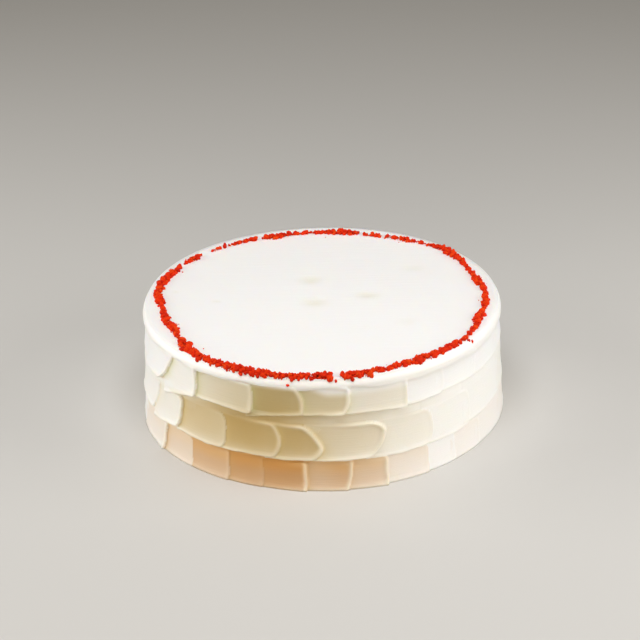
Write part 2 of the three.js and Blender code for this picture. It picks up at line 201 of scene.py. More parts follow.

# A stroke's lip: the ridge that the knife pushes up, highest round the end. Below the tip of a long rounded
# end it is fainter. In front of an end, in the step down to the next stroke, a warm shade is painted,
# strongest on the left.
LIP_INSET = 1.45
LIP_WIDTH = 1.35
LIP_GAIN = 1.1
LIP_LENGTH = 7
LOWER_LIP = 0.35
LOWER_LIP_HEIGHT = 4
CREST_HEIGHTS = (3.5, 1.5)
CREST_BEHIND = (1, 4)
LONG_ROUND = 7
FAINT_LIP = 0.45
FAINT_BELOW_TIP = (-0.9, 0)
FAINT_BEHIND = (6, 12)
GROOVE_REACH = 2.4
GROOVE_EDGE = (-0.5, 2)
GROOVE_INSIDE = 0.4
GROOVE_STRENGTH = 0.6
GROOVE_ANGLES = (30, -15)
GROOVE_THICKNESS = 1.1
UNSEEN_GROOVE = 0.12

# Colours as seen on screen, from 0 to 255. They are mixed as they are, and made linear last.
TOP_COLOUR = np.array([251, 250, 248])
RIM_COLOUR = np.array([248, 247, 244])
# Painted shade in the top's dents.
DENT_SHADE_COLOUR = np.array([239, 236, 222])
ROW_COLOURS = np.array([[248, 246, 244], [249, 249, 247], [250, 251, 252]])
# Painted shade: the warm tan that the strokes go to by their depth, deepest on the front strokes.
ROW_SHADE_COLOURS = np.array([[204, 156, 103], [199, 171, 112], [190, 167, 112]])
# Painted shade over the bottom row's upper part, under the middle row's edge.
SHADED_COLOUR = np.array([220, 154, 66])
# Painted shade, warm, in the step in front of each stroke's end.
GROOVE_SHADE_COLOURS = np.array([[212, 170, 106], [224, 200, 134], [214, 210, 150]])
# Painted highlight on the lips, where the ridges catch the light.
LIP_HIGHLIGHT_COLOUR = np.array([250, 243, 226])

# Where the colours change: a stroke's painted shade fading over its lower edge and behind its end, the
# heights of the strips over two rows, where the strokes' colours run into each other and the painted shade
# is a little lighter, the darker and warmer painted shade over the bottom row's upper part, the painted
# highlight on the lips, and the heights from where the side is white and the rim has the top's colour.
LOW_FADE_HEIGHT = 5
END_FADE = 0.08
END_FADE_LENGTH = 5
LOWER_STRIP = (17.8, 20.8)
UPPER_STRIP = (39.8, 41.2)
UPPER_STRIP_TOP = 47
STRIP_DEPTH = 0.92
STRIP_BLUR = 8
SHADED_SHARE = 0.7
SHADED_HEIGHTS = (7, 16)
LIP_HIGHLIGHT = 0.9
MOST_LIP_HIGHLIGHT = 0.7
WHITE_HEIGHTS = (60, 64.5)
LOW_WHITE_HEIGHTS = (55.8, 60.8)
TOP_HEIGHTS = (64, 67.5)

# The drag marks' coordinates: each stroke has its own stretch of them, and the top has another.
SMEAR_APART = 57
SMEAR_ACROSS = 3
TOP_SMEAR_START = 400
TOP_SMEAR = (0.5, 1.3)


def linear(seen):
    """Colours as seen on screen, from 0 to 255, turned to the linear light that materials use."""
    share = np.asarray(seen) / 255
    return np.where(share <= 0.04045, share / 12.92, ((share + 0.055) / 1.055) ** 2.4)


def draw(a, b):
    """A seeded draw from 0 to 1 for whole numbers: the fraction of a large multiple of a sine of both."""
    wave = np.sin(a * 127.1 + b * 311.7) * 43758.5453
    return wave - np.floor(wave)


def smoothstep(low, high, value):
    """0 below low, 1 above high, and 3t^2 - 2t^3 of the share t between them."""
    t = np.clip((value - low) / (high - low), 0, 1)
    return t * t * (3 - 2 * t)


def mix(a, b, share):
    """Goes from a to b as share goes from 0 to 1."""
    return a + (b - a) * share


def round_waves(table, degrees):
    """The sum of a table's sine waves round the cake."""
    a = np.radians(degrees)
    return sum(height * np.sin(count * a + start) for count, height, start in table)


def edge_waves(table, place, phase):
    """The sum of a table's sine waves along a stroke's edge."""
    return sum(height * np.sin(place / pitch + times * phase) for pitch, height, times in table)


def within(stretch, degrees):
    """1 in a stretch of the side, 0 outside it, with a smoothstep at each of its ends."""
    start, full, ending, over = stretch
    return smoothstep(start, full, degrees) * smoothstep(over, ending, degrees)


def calmness(degrees):
    """How calmly the side is laid: 1 on the calm stretches, 0 elsewhere."""
    return sum(within(stretch, degrees % 360) for stretch in CALM_STRETCHES)


def from_front(degrees):
    """Angles from the front, below 0 to the left and above 0 to the right."""
    return (degrees + 180) % 360 - 180


def crumb_coat(height):
    """The side's radius under the strokes: a straight line in the height, from the foot to the neck."""
    share = height / (HEIGHT - RIM_LIP_HEIGHT)
    return mix(FOOT_RADIUS - FROSTING_RELIEF, RIM_RADIUS - FROSTING_RELIEF, share)


def rim_relief(rim, degrees, height):
    """How far the smoothed rim stands over the crumb coat: buried below the line of its edge, out above it.

    The line is level but for its waves and for its drops at the right, a smoothstep each.
    """
    turned = from_front(degrees)
    ending, over = RIM_DROP_END
    drop = sum(depth * smoothstep(start, full, turned) for start, full, depth in RIM_DROPS)
    drop = drop * smoothstep(over, ending, turned)
    hang = HEIGHT - RIM_LIP_HEIGHT - drop + round_waves(HANG_WAVES, degrees)
    calm = calmness(degrees)
    low, high = (mix(usual, wide, calm) for usual, wide in zip(LIP_BLEND, CALM_LIP_BLEND))
    out = rim - crumb_coat(height)
    edge = mix(-BURIED, out, smoothstep(low, high, height - hang))
    return np.where(height > HEIGHT - RIM_ROUND, out, edge)


def row_strokes(row, number):
    """All strokes of a row: the seen ones as stated, then the rest, evenly spaced with a seeded wander."""
    strokes = [{"lean": 0, **dict(zip(STROKE_PARTS, values))} for values in row["seen"]]
    first, last = strokes[0]["end"], strokes[-1]["end"]
    gap = (360 + first - last) / (row["unseen"] + 1)
    for i in range(row["unseen"]):
        d = [draw(i + 1, number * 7 + n) for n in range(9)]
        end = last + gap * (i + 1 + UNSEEN_WANDER * (d[1] - 0.5))
        calm = calmness(end)
        unseen = {
            "end": end,
            "round": mix(*UNSEEN_ROUND, d[2] ** 2),
            "tip": mix(*UNSEEN_TIP, d[3]),
            "slant": mix(*UNSEEN_SLANT, d[4]),
            "thick": mix(mix(*UNSEEN_THICKNESS, d[5]), CALM_THICKNESS, calm),
            "lip": mix(mix(*UNSEEN_LIP, d[6]), CALM_LIP, calm),
            "tilt": mix(mix(*UNSEEN_TILT, d[7]), CALM_TILT, calm),
            "dip": 0,
            "above": 0,
            "depth": UNSEEN_SHADE_DEPTH * d[8],
            "lean": 0,
        }
        strokes.append(unseen)
    for i, stroke in enumerate(strokes):
        left = strokes[i - 1]
        arc = np.radians(stroke["end"] - left["end"] + (0 if i else 360)) * ARC_RADIUS
        stroke["length"] = arc + left["round"] + TAIL_OVERLAP
        for edge, n in (("low", 1), ("high", 2)):
            stroke[edge] = row[edge] + row["wander"] * 2 * (draw(i + 40, number * 5 + n) - 0.5)
        stroke["low"] += stroke["above"]
        seen = i < len(row["seen"])
        calm = calmness(stroke["end"])
        stroke["flare"] = mix(FLARE if seen else UNSEEN_FLARE, CALM_FLARE, calm)
        stroke["strip"] = mix(STRIP_LENGTH, CALM_STRIP_LENGTH, calm)
        # The painted shade in front of the end: strongest on the left, none for thin strokes.
        shade_strength = GROOVE_STRENGTH * smoothstep(*GROOVE_ANGLES, stroke["end"]) if seen else UNSEEN_GROOVE
        stroke["groove"] = shade_strength * np.clip(stroke["thick"] - GROOVE_THICKNESS, 0, 1)
        stroke["seed"] = 31 * number + i
        stroke.update({part: row[part] for part in ("cover", "crest", "fade")})
    return strokes


def stroke_outline(stroke, back, height):
    """A stroke's lower and upper edge, how far each point lies inside its end, and how far above its tip the
    point is, from -1 to 1.

    The edges are level lines that waver, and the lower one dips by a straight line. The end is a quarter of
    a rounded square above the tip and another one below it, and the distance to it is the one along the
    stroke, shortened by the end's slope.
    """
    phase = PHASES * draw(stroke["seed"], 1)
    gone = np.clip(back / stroke["length"], 0, 1)
    dip = max(stroke["dip"], 0) * gone - min(stroke["dip"], 0) * (1 - gone)
    low = stroke["low"] + edge_waves(LOWER_EDGE_WAVES, back, phase) - dip
    high = stroke["high"] + edge_waves(UPPER_EDGE_WAVES, back, phase)
    tip = (high + low) / 2 + stroke["tip"] * (high - low) / 2
    side = np.sign(height - tip)
    reach = np.where(side > 0, high - tip, tip - low)
    c = np.clip(np.abs(height - tip) / reach, 0, NEAREST_EDGE)
    power = SQUARE_END if stroke["round"] < ROUND_FROM else ROUND_END
    power = POINTED_END if stroke["round"] >= POINTED_FROM else power
    bow = (1 - c**power) ** (1 / power)
    end_line = stroke["round"] * (1 - bow) + stroke["slant"] * side * c
    slope = (stroke["round"] * (c / bow) ** (power - 1) + stroke["slant"]) / reach
    to_end = back - end_line + edge_waves(END_WAVES, height, phase)
    return low, high, to_end / np.sqrt(1 + np.minimum(slope, STEEPEST_END) ** 2), side * c


def stroke_relief(stroke, degrees, height):
    """How far one stroke stands over the crumb coat at each point, how far each point is behind its end, the
    height of its lip there, and how strong the painted shade in the groove in front of its end is there,
    from 0 to 1.

    A point's distance inside the outline is the least of those to the edges and to the end. There the face
    thins towards the tail, is hollowed across by a parabola, tilts, and flares out over its lower edge. It
    is edged by a lip, a bell curve of the distance inside, which fades along the upper edge behind the end.
    Over the upper edge lies a strip that rises from the undercoat to the face with the distance behind the
    end.
    """
    back = np.radians(from_front(stroke["end"] - degrees)) * ARC_RADIUS
    low, high, to_end, above_tip = stroke_outline(stroke, back, height)
    to_edge = np.minimum(height - low, high - height)
    apart = to_end - to_edge
    inside = (to_end + to_edge - np.sqrt(apart * apart + CORNER_SOFTNESS)) / 2
    share = 1 - np.clip(back / stroke["length"], 0, 1)
    over_low = height - np.maximum(low, 0)
    across = np.clip(over_low / (high - low), 0, 1)
    face = mix(TAIL_THICKNESS, stroke["thick"], share**THINNING)
    face = face - HOLLOW * (1 - (2 * across - 1) ** 2) * share
    face = face + 2 * (stroke["tilt"] + EVERY_TILT) * (0.5 - across)
    face = face + stroke["flare"] * np.exp(-np.maximum(over_low - FLARE_FOOT, 0) / FLARE_HEIGHT)
    near_end = np.exp(-np.maximum(to_end, 0) / LIP_LENGTH)
    lip = mix(LOWER_LIP * smoothstep(LOWER_LIP_HEIGHT, 0, over_low), stroke["lip"] * LIP_GAIN, near_end)
    lip = lip * np.exp(-(((inside - LIP_INSET) / LIP_WIDTH) ** 2))
    on_crest = smoothstep(*CREST_HEIGHTS, high - height) * smoothstep(*CREST_BEHIND, to_end)
    lip = lip * (1 - (1 - stroke["crest"]) * on_crest)
    if stroke["round"] > LONG_ROUND:
        full = np.maximum(smoothstep(*FAINT_BELOW_TIP, above_tip), smoothstep(*FAINT_BEHIND, to_end))
        lip = lip * mix(FAINT_LIP, 1, full)
    wall = smoothstep(*WALL, inside)
    relief = mix(-BURIED, face + lip, wall)
    risen = smoothstep(STRIP_START, stroke["strip"], back - stroke["round"])
    strip = mix(UNDERCOAT, face - STRIP_SUNK, risen)
    strip = mix(-BURIED, strip, smoothstep(*WALL, stroke["cover"] - height))
    relief = np.where(height > high - STRIP_UNDER, np.maximum(relief, strip), relief)
    groove = np.exp(-np.maximum(-to_end, 0) / GROOVE_REACH)
    groove = groove * smoothstep(*GROOVE_EDGE, to_edge) * (to_end < GROOVE_INSIDE)
    return np.where(np.abs(back) < stroke["length"], relief, -BURIED), back, lip * wall, groove


def painted_shade_depth(stroke, row, back, height):
    """The depth of the painted shade over a stroke, which leans from its tail to its end by a straight line.

    It fades by a bell curve over the lower edge and by an exponential one behind the end, and it follows the
    row's tones in the height.
    """
    leaning = stroke["lean"] * (0.5 - np.clip(back / stroke["length"], 0, 1))
    fading = 1 - stroke["fade"] * np.exp(-(((height - max(stroke["low"], 0)) / LOW_FADE_HEIGHT) ** 2))
    fading = fading - END_FADE * np.exp(-np.maximum(back - stroke["round"], 0) / END_FADE_LENGTH)
    return (stroke["depth"] + leaning) * fading * mix(*row["tones"], (height - row["low"]) / ROW_HEIGHT)


def laid_strokes(degrees, height):
    """Lays all the strokes on the undercoat, and keeps what lies highest at each point.

    Returns the relief, the row, the painted shade's depth, the lips' height, the strength of the painted
    shade in the grooves, and the coordinates of the drag marks.
    """
    relief = np.full_like(height, UNDERCOAT)
    owner = np.full(height.shape, -1)
    along = np.radians(degrees) * ARC_RADIUS
    lips = np.zeros_like(height)
    grooves = np.zeros_like(height)
    deep = np.zeros_like(height)
    row_of = np.digitize(height, ROW_BORDERS)
    for number, row in enumerate(STROKE_ROWS):
        for stroke in row_strokes(row, number):
            over, back, lip, groove = stroke_relief(stroke, degrees, height)
            spans = (row_of == number) & (back > 0) & (back < stroke["length"])
            deep = np.where(spans & (owner < 0), stroke["depth"], deep)
            higher = over > relief
            relief = np.where(higher, over, relief)
            owner = np.where(higher, stroke["seed"], owner)
            along = np.where(higher, back + SMEAR_APART * stroke["seed"], along)
            lips = np.where(higher, lip, lips)
            grooves = np.maximum(grooves, stroke["groove"] * groove)
            deep = np.where(higher, painted_shade_depth(stroke, row, back, height), deep)
            row_of = np.where(higher, number, row_of)
    smear = np.stack([along, height * SMEAR_ACROSS, np.maximum(owner, 0) * 1.0], axis=-1)
    return relief, row_of, deep, lips, grooves, smear


def blurred(values):
    """Averages an array along the angle, over a few degrees each way."""
    reach = COLUMNS * STRIP_BLUR // 360
    shifts = range(-reach, reach + 1)
    return sum(np.roll(values, shift, axis=1) for shift in shifts) / len(shifts)


def side_colours(degrees, height, row_of, deep, lips, grooves, on_rim):
    """The side's colours: from a row's pale colour to its painted shade by the depth, which is blurred on the
    strips between rows, then towards the painted shade in the grooves, the painted highlight on the lips,
    the rim's colour and the top's, one by one."""
    strip = smoothstep(*UPPER_STRIP, height) * (height < UPPER_STRIP_TOP)
    strip = strip + (height > LOWER_STRIP[0]) * (height < LOWER_STRIP[1])
    deep = mix(deep, STRIP_DEPTH * blurred(deep), np.clip(strip, 0, 1))
    # Painted shade, darker and warmer, over the bottom row's upper part under the middle row's edge.
    shaded = SHADED_SHARE * smoothstep(*SHADED_HEIGHTS, height) * (row_of == 0)
    deep_colours = mix(ROW_SHADE_COLOURS[row_of], SHADED_COLOUR, shaded[..., None])
    colours = mix(ROW_COLOURS[row_of], deep_colours, deep[..., None])
    # Painted warm shade in the step in front of each stroke's end.
    colours = mix(colours, GROOVE_SHADE_COLOURS[row_of], grooves[..., None])
    # Painted highlight on the lips, by their height.
    colours = mix(colours, LIP_HIGHLIGHT_COLOUR, np.clip(lips * LIP_HIGHLIGHT, 0, MOST_LIP_HIGHLIGHT)[..., None])
    low_white = within(WHITE_STRETCH, from_front(degrees))
    start, full = (mix(usual, low, low_white) for usual, low in zip(WHITE_HEIGHTS, LOW_WHITE_HEIGHTS))
    whiteness = np.maximum(on_rim, smoothstep(start, full, height))
    colours = mix(colours, RIM_COLOUR, whiteness[..., None])
    return mix(colours, TOP_COLOUR, smoothstep(*TOP_HEIGHTS, height)[..., None])


# The grid's heights up the side, closest together where the rows' edges and lips are: each stretch from one
# height to another, and the number of loops in it.
SIDE_STRETCHES = [
    (0, 15.5, 14),
    (15.5, 23, 14),
    (23, 37.5, 12),
    (37.5, 48.5, 18),
    (48.5, 57.5, 8),
    (57.5, 63.5, 9),
]


def side_loops():
    """The side's and the rim's loops of points, from the foot up, with their colours and drag marks.

    On the side a loop's radius is the crumb coat plus a smooth maximum of the strokes' and the rim's relief.
    The rim's loops follow a quarter circle.
    """
    arc = np.linspace(0, np.pi / 2, RIM_LOOPS, endpoint=False)
    steps = [np.linspace(low, high, count, endpoint=False) for low, high, count in SIDE_STRETCHES]
    heights = np.concatenate([*steps, HEIGHT - RIM_ROUND * (1 - np.sin(arc))])
    rim = np.full(len(heights), RIM_RADIUS, float)
    rim[-RIM_LOOPS:] = RIM_RADIUS - RIM_ROUND * (1 - np.cos(arc))
    z, angle = np.meshgrid(heights, np.arange(COLUMNS) * 360 / COLUMNS, indexing="ij")
    relief, row_of, deep, lips, grooves, smear = laid_strokes(angle, z)
    rim_over = rim_relief(rim[:, None], angle, z)
    apart = relief - rim_over
    softness = mix(RIM_SOFTNESS, CALM_RIM_SOFTNESS, calmness(angle))
    merged = (relief + rim_over + np.sqrt(apart * apart + softness)) / 2
    radius = crumb_coat(z) + round_waves(SWELL_WAVES, angle) + merged
    a = np.radians(angle)
    points = np.stack([radius * np.sin(a), -radius * np.cos(a), z], axis=-1)
    colours = side_colours(angle, z, row_of, deep, lips, grooves, smoothstep(*ON_RIM, -apart))
    return list(zip(points, colours, smear))


# The top is smoothed with a few strokes of the knife, which leave broad low swells and shallow dents, with
# shade painted into the dents. Each dent: its place, its width and its depth.
TOP_DENTS = [
    (-5.8, 24.6, 6.5, 0.45),
    (-3.1, -5.9, 7, 0.45),
    (27.7, 1.9, 6, 0.5),
    (56.7, 38, 6, 0.22),
    (-61.5, -1.3, 2.5, 0.3),
    (-86.3, 12.4, 2, 0.25),
    (50, -34, 6, 0.15),
]
DENT_SQUEEZE = 1.3
DENT_SHADE = 1.6
FLAT_BESIDE_RIM = 16

# The top's swells, the first one along X and the second along Y: each one's height, its pitch, its start, how
# much it is bent and the pitch of that bend, which runs across it.
TOP_SWELLS = [(0.16, 23, 0, 0.6, 31), (0.12, 17, 1.3, 0.5, 19)]

# The top's loops from the rim inwards: the step between them, the radius down to which it is taken, and
# whether the columns halve at the first of them.
TOP_STEPS = [(0.9, 96, True), (1.6, 86, True), (2.4, 34, False), (2.4, 12, True), (3, 3, True)]


def top_dents(x, y):
    """The depth of the shallow dents that the knife left on the top, as bell curves."""
    return sum(
        depth * np.exp(-((x - dent_x) ** 2 + ((y - dent_y) * DENT_SQUEEZE) ** 2) / width**2)
        for dent_x, dent_y, width, depth in TOP_DENTS
    )


def top_relief(x, y):
    """The smoothed top's height over its plane: broad low swells, fading at the rim, less the dents.

    Each swell is a sine wave whose phase is bent by another one across it.
    """
    swells = sum(
        height * np.sin(along / pitch + start + bend * np.sin(across / bend_pitch))
        for (height, pitch, start, bend, bend_pitch), along, across in zip(TOP_SWELLS, (x, y), (y, x))
    )
    fading = smoothstep(RIM_RADIUS, RIM_RADIUS - FLAT_BESIDE_RIM, np.hypot(x, y))
    return swells * fading - top_dents(x, y)


def top_radii():
    """The radii of the top's loops from the rim inwards, and at which of them the columns halve."""
    radii = [(RIM_RADIUS - RIM_ROUND, False)]
    for step, low, halve in TOP_STEPS:
        while radii[-1][0] - step > low:
            radii.append((radii[-1][0] - step, halve))
            halve = False
    return radii


def top_loops():
    """The top's loops of points, from the rim inwards, with their colours and drag marks: circles with the
    side's swell, lifted to the smoothed top."""
    loops = []
    columns = COLUMNS
    for loop_radius, halve in top_radii():
        columns = columns // 2 if halve else columns
        degrees = np.arange(columns) * 360 / columns
        a = np.radians(degrees)
        radius = loop_radius * (1 + round_waves(SWELL_WAVES, degrees) / RIM_RADIUS)
        x, y = radius * np.sin(a), -radius * np.cos(a)
        points = np.stack([x, y, HEIGHT + top_relief(x, y)], axis=-1)
        # Painted shade in the dents, greyer the deeper they are.
        colours = mix(TOP_COLOUR, DENT_SHADE_COLOUR, np.clip(top_dents(x, y) * DENT_SHADE, 0, 1)[:, None])
        smear = np.stack([x * TOP_SMEAR[0] + TOP_SMEAR_START, y * TOP_SMEAR[1], x * 0], axis=-1)
        loops.append((points, colours, smear))
    return loops


def loop_faces(start, count, next_start, next_count):
    """Triangles between two loops: pairs on equal loops, and three for two columns where the next halves."""
    i = np.arange(next_count)
    j = (i + 1) % next_count
    if count == next_count:
        a, b, c, d = start + i, start + j, next_start + j, next_start + i
        return np.concatenate([np.stack([a, b, c], 1), np.stack([a, c, d], 1)])
    a, b, c = start + 2 * i, start + 2 * i + 1, start + (2 * i + 2) % count
    d, e = next_start + i, next_start + j
    return np.concatenate([np.stack([a, b, d], 1), np.stack([b, e, d], 1), np.stack([b, c, e], 1)])


def piece_of(name, points, faces, attributes):
    """A smooth mesh object in metres at the origin, from arrays of its points, its triangles and the points'
    attributes."""
    mesh = bpy.data.meshes.new(name)
    mesh.vertices.add(len(points))
    mesh.vertices.foreach_set("co", (points * MM).astype(np.float32).ravel())
    mesh.loops.add(faces.size)
    mesh.loops.foreach_set("vertex_index", faces.astype(np.int32).ravel())
    mesh.polygons.add(len(faces))
    mesh.polygons.foreach_set("loop_start", np.arange(0, faces.size, 3, dtype=np.int32))
    mesh.polygons.foreach_set("use_smooth", np.ones(len(faces), bool))
    for label, (kind, values) in attributes.items():
        attribute = mesh.attributes.new(label, kind, "POINT")
        field = "color" if kind == "FLOAT_COLOR" else "vector"
        attribute.data.foreach_set(field, values.astype(np.float32).ravel())
    mesh.update()
    mesh.validate()
    made = bpy.data.objects.new(name, mesh)
    bpy.context.scene.collection.objects.link(made)
    return made


def with_alpha(colours):
    """Adds a full alpha to an array of colours."""
    return np.concatenate([colours, np.ones((len(colours), 1))], axis=1)


def frosting_piece():
    """Joins the loops into one closed surface, with a fan of triangles at the middle and under the base."""
    loops = side_loops() + top_loops()
    counts = [len(points) for points, _, _ in loops]
    starts = np.cumsum([0] + counts)
    faces = [loop_faces(starts[k], counts[k], starts[k + 1], counts[k + 1]) for k in range(len(loops) - 1)]
    middle, under = starts[-1], starts[-1] + 1
    last = starts[-2] + np.arange(counts[-1])
    faces.append(np.stack([last, np.roll(last, -1), np.full(counts[-1], middle)], 1))
    foot = np.arange(COLUMNS)
    faces.append(np.stack([np.roll(foot, -1), foot, np.full(COLUMNS, under)], 1))
    ends = (
        [[0, 0, HEIGHT + top_relief(0, 0)], [0, 0, 0]],
        [TOP_COLOUR, ROW_COLOURS[0]],
        [[TOP_SMEAR_START, 0, 0], [0, 0, 0]],
    )
    points, colours, smear = (np.concatenate([*parts, end]) for parts, end in zip(zip(*loops), ends))
    attributes = {"tint": ("FLOAT_COLOR", with_alpha(linear(colours))), "smear": ("FLOAT_VECTOR", smear)}
    return piece_of("cream_cheese_frosting", points, np.concatenate(faces), attributes)


class Shade:
    """A socket of a material's node tree. Arithmetic on it adds Math nodes."""

    def __init__(self, tree, socket=None):
        self.tree = tree
        self.socket = socket

    def node(self, kind, settings, inputs, output=0):
        """Adds a node, makes its settings, fills or links its inputs, and wraps one of its outputs."""
        made = self.tree.nodes.new(kind)
        for name, value in settings.items():
            setattr(made, name, value)
        for name, value in inputs.items():
            if isinstance(value, Shade):
                self.tree.links.new(value.socket, made.inputs[name])
            else:
                made.inputs[name].default_value = value
        return Shade(self.tree, made.outputs[output])

    def math(self, operation, a, b):
        """A Math node on two sockets or numbers."""
        return self.node("ShaderNodeMath", {"operation": operation}, {0: a, 1: b})

    def __add__(self, other):
        return self.math("ADD", self, other)

    def __sub__(self, other):
        return self.math("SUBTRACT", self, other)

    def __rsub__(self, other):
        return self.math("SUBTRACT", other, self)

    def __mul__(self, other):
        return self.math("MULTIPLY", self, other)

    __radd__ = __add__
    __rmul__ = __mul__


def new_material(name):
    """An empty material, its Principled surface and a Shade to build its nodes with."""
    material = bpy.data.materials.new(name)
    material.use_nodes = True
    tree = material.node_tree
    tree.nodes.clear()
    surface = tree.nodes.new("ShaderNodeBsdfPrincipled")
    output = tree.nodes.new("ShaderNodeOutputMaterial")
    tree.links.new(surface.outputs[0], output.inputs[0])
    return material, surface, Shade(tree)


CLOUD_TINT = (0.94, 0.91, 0.85, 1)


def frosting_material():
    """Satin frosting: tinted by the strokes, with their painted shade and highlights, drag marks along them
    and fine pits of beaten-in air.
    """
    material, surface, shade = new_material("cream_cheese_frosting")
    tint = shade.node("ShaderNodeAttribute", {"attribute_name": "tint"}, {})
    smear = shade.node("ShaderNodeAttribute", {"attribute_name": "smear"}, {}, output=1)
    place = shade.node("ShaderNodeTexCoord", {}, {}, output=3)
    stretched = shade.node("ShaderNodeMapping", {}, {"Vector": smear, "Scale": (0.05, 0.35, 1)})
    drag = shade.node(
        "ShaderNodeTexNoise",
        {},
        {"Vector": stretched, "Scale": 1.0, "Detail": 5.0, "Roughness": 0.6},
    )
    cloud = shade.node("ShaderNodeTexNoise", {}, {"Vector": place, "Scale": 55.0, "Detail": 3.0})
    pits = shade.node("ShaderNodeTexVoronoi", {}, {"Vector": place, "Scale": 420.0})
    pit = shade.node("ShaderNodeMapRange", {}, {"Value": pits, "From Min": 0.0, "From Max": 0.22})
    shaded = shade.node(
        "ShaderNodeMix",
        {"data_type": "RGBA", "blend_type": "MULTIPLY"},
        {0: (cloud - 0.35) * 0.25, 6: tint, 7: CLOUD_TINT},
        output=2,
    )
    surface.inputs["Subsurface Weight"].default_value = 0.3
    surface.inputs["Subsurface Radius"].default_value = (1.0, 0.7, 0.45)
    surface.inputs["Subsurface Scale"].default_value = 0.0025
    links = shade.tree.links
    links.new(shaded.socket, surface.inputs["Base Color"])
    links.new((drag * 0.25 + 0.36).socket, surface.inputs["Roughness"])
    height = drag * 0.8 + pit * 0.12 + cloud * 0.3
    bump = shade.node("ShaderNodeBump", {}, {"Strength": 0.5, "Distance": 0.0004, "Height": height})
    links.new(bump.socket, surface.inputs["Normal"])
    return material


frosting = frosting_piece()
frosting.data.materials.append(frosting_material())
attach(frosting, "root")
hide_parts("frosted_cake")

# The larger crumbs: lumps of red sponge rubbed through the fingers, one to five millimetres across. They
# are dropped in a wandering ring on the soft frosting, where each one sinks in a little and sticks.

# The ring is thick in clumps, thin between them and bare in its gaps. Each turn: its angle, the ring's
# radius and half its width there. Each gap: its middle and half its width, both as angles.
RING_TURNS = [
    (0, 101, 3.1),
    (10, 101.3, 2.8),
    (20, 99.8, 1.3),
    (30, 98.9, 2.4),
    (45, 99.5, 1.7),
    (55, 99.9, 0.9),
    (62, 98.5, 0.8),
    (70, 96.3, 2.3),
    (77, 96.2, 0.7),
    (83, 96.9, 1.5),
    (90, 97.2, 0.9),
    (101, 95.3, 2),
    (110, 95.5, 0.5),
    (119, 97.5, 1.4),
    (129, 99.2, 2.5),
    (139, 97.2, 0.3),
    (147, 95.2, 1.5),
    (160, 93, 1.1),
    (173, 92.6, 2.1),
    (182, 93.4, 0.9),
    (190, 93.2, 0.7),
    (196, 92.4, 2),
    (203, 93.8, 0.6),
    (210, 95, 1.2),
    (219, 95.8, 0.2),
    (232, 96.6, 1.5),
    (239, 97, 0.3),
    (247, 97.5, 1.7),
    (262, 97.9, 1.8),
    (271, 94.8, 2.3),
    (277, 93.4, 0.7),
    (285, 93.4, 1.8),
    (295, 93.4, 1.8),
    (302, 95.6, 1.2),
    (309, 98.4, 3.5),
    (318, 100.8, 2.5),
    (328, 100.8, 2.2),
    (340, 101.1, 3.2),
    (349, 101.4, 1.6),
    (354, 101.2, 2.5),
    (360, 101, 3.1),
]
RING_GAPS = [(4.3, 1.8), (154.8, 0.8), (164, 1.3), (203.8, 1.2), (226.5, 2.4), (239.5, 1.2), (319, 0.5)]
THIN_WIDTH = 0.6
FULL_WIDTH = 2.4

# The crumbs themselves. Their steps round the ring are shifted by a share of a step, and they lie off its
# middle by a share of its half width. A crumb's radius is the least one and what is added by chance, less
# where the ring is thin. Each fallen one: its angle, the radius it lies at and its own radius.
CRUMB_COUNT = 124
CRUMB_SHIFT = 0.6
OFF_MIDDLE = (0.25, 1)
CRUMB_RADIUS = 1.4
CRUMB_SPREAD = 1
THIN_SIZE = 0.6
CRUMB_RISE = 0.3
FALLEN_CRUMBS = [(-10.6, 104.9, 1), (3.9, 103.8, 0.9), (54, 102.6, 1.2), (55, 103.8, 0.9)]

# A lump's shape: how many waves make it uneven, how closely they are set, how far they and the chance at
# each point go, and between which shares it is squeezed along an axis. Its red goes from a dark one over the
# usual one to a bright one.
LUMP_WAVES = 5
LUMP_CLOSENESS = 2.1
LUMP_SWING = 1.5
LUMP_JITTER = 0.35
LUMP_SQUEEZE = (0.68, 1.15)
CRUMB_COLOUR = linear([247, 56, 2])
DARK_CRUMB_COLOUR = linear([218, 38, 5])
BRIGHT_CRUMB_COLOUR = linear([252, 86, 12])
DARK_SHADES = (0, 0.42)
BRIGHT_SHADES = (0.6, 1)
BRIGHT_SHARE = 0.8
PORE_TINT = (0.55, 0.3, 0.3, 1)


def ring_at(degrees):
    """The ring's radius and half width at an angle: a smoothstep from each turn to the next."""
    angles, radii, widths = np.array(RING_TURNS).T
    turned = degrees % 360
    after = np.clip(np.searchsorted(angles, turned), 1, len(angles) - 1)
    share = smoothstep(angles[after - 1], angles[after], turned)
    return mix(radii[after - 1], radii[after], share), mix(widths[after - 1], widths[after], share)


def fullness(half_width):
    """Goes from 0 where the ring is thin to 1 where it is wide."""
    return np.clip((half_width - THIN_WIDTH) / (FULL_WIDTH - THIN_WIDTH), 0, 1)


def in_gap(degrees):
    """True where the ring is left bare."""
    turned = degrees % 360
    return np.any([np.abs(turned - at) < half for at, half in RING_GAPS], axis=0)


def top_height(radius):
    """The top's height at a radius: flat, then a quarter circle down at the rim."""
    over = np.maximum(0, radius - (RIM_RADIUS - RIM_ROUND))
    return HEIGHT - RIM_ROUND + np.sqrt(np.maximum(0, RIM_ROUND**2 - over**2))


def places_on_top(degrees, radius, lift):
    """Places at angles and radii on the top, lifted over it."""
    a = np.radians(degrees)
    return np.stack([radius * np.sin(a), -radius * np.cos(a), top_height(radius) + lift], axis=-1)


